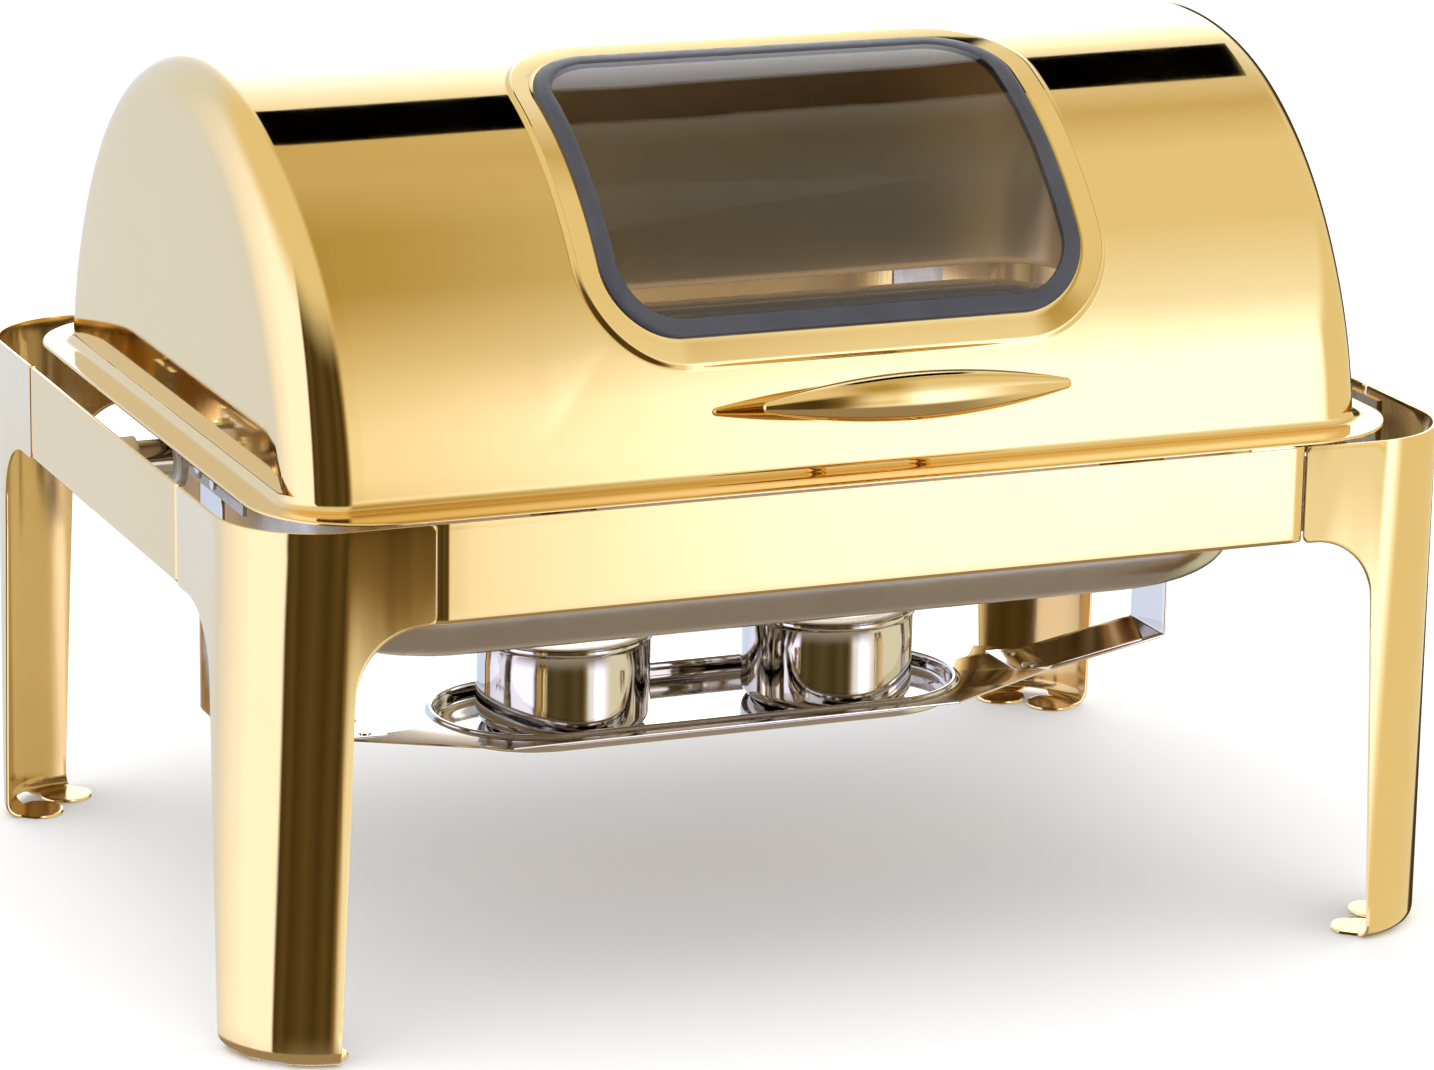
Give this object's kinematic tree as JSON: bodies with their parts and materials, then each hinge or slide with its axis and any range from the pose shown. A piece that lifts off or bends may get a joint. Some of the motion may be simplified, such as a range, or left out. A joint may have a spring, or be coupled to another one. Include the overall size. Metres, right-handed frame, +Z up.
{
  "type": "roll top chafer",
  "caption": "Rectangular buffet chafer with a gold four-legged frame, a roll-back half-round lid with a glass window, nested pans and fuel holders below.",
  "frame": {"origin": "centre of the frame's footprint, on the floor", "axes": "+X along the length, to the right seen from the handle side; front faces -Y; +Z up"},
  "size_m": [0.64, 0.4711, 0.4419],
  "materials": {
    "gold_polished": "mirror-polished gold-tone stainless steel",
    "steel_polished": "polished stainless steel",
    "steel_satin": "satin stainless steel",
    "pan_steel": "fine-brushed stainless steel",
    "glass": "clear tempered glass",
    "gasket_rubber": "smooth dark grey rubber",
    "silicone": "matt translucent silicone",
    "bush_nylon": "natural nylon"
  },
  "bodies": {
    "frame": {"leg_front_left": "gold_polished", "leg_front_right": "gold_polished", "leg_back_left": "gold_polished", "leg_back_right": "gold_polished", "rail_front": "gold_polished", "rail_back": "gold_polished", "rail_left": "gold_polished", "rail_right": "gold_polished", "splice_plates": "steel_satin", "pivot_bracket_left": "steel_satin", "pivot_bracket_right": "steel_satin", "bracket_studs": "steel_polished", "bracket_nuts": "steel_polished", "pivot_stud_left": "steel_polished", "pivot_stud_right": "steel_polished", "pivot_collar_left": "steel_polished", "pivot_collar_right": "steel_polished", "stud_nuts": "steel_polished", "pan_carrier_left": "steel_satin", "pan_carrier_right": "steel_satin", "front_rest_left": "steel_satin", "front_rest_right": "steel_satin", "lid_bumpers": "silicone", "fuel_shelf": "steel_polished", "shelf_hanger_left": "steel_polished", "shelf_hanger_right": "steel_polished", "shelf_rivets": "steel_polished"},
    "lid": {"lid_shell": "gold_polished", "window_glass": "glass", "window_gasket": "gasket_rubber", "window_retainer": "steel_satin", "window_studs": "steel_polished", "window_nuts": "steel_polished", "handle": "gold_polished", "handle_post_left": "gold_polished", "handle_post_right": "gold_polished", "handle_screws": "steel_polished", "hinge_plate_left": "steel_satin", "hinge_plate_right": "steel_satin", "hinge_bush_left": "bush_nylon", "hinge_bush_right": "bush_nylon"},
    "water_pan": {"water_pan": "pan_steel"},
    "food_pan": {"food_pan": "pan_steel"},
    "fuel_left": {"fuel_holder_left": "steel_polished", "fuel_ring_left": "steel_polished"},
    "fuel_right": {"fuel_holder_right": "steel_polished", "fuel_ring_right": "steel_polished"}
  },
  "joints": [
    {"name": "lid_roll", "type": "hinge", "parent": "frame", "child": "lid", "pos_m": [0, 0, 0.242], "axis": [-1, 0, 0], "range_deg": [0, 90]},
    {"name": "water_pan_lift", "type": "slide", "parent": "frame", "child": "water_pan", "axis": [0, 0, 1], "range_m": [0, 0.015]},
    {"name": "food_pan_lift", "type": "slide", "parent": "water_pan", "child": "food_pan", "axis": [0, 0, 1], "range_m": [0, 0.065]},
    {"name": "fuel_left_lift", "type": "slide", "parent": "frame", "child": "fuel_left", "axis": [0, 0, 1], "range_m": [0, 0.025]},
    {"name": "fuel_right_lift", "type": "slide", "parent": "frame", "child": "fuel_right", "axis": [0, 0, 1], "range_m": [0, 0.025]}
  ]
}
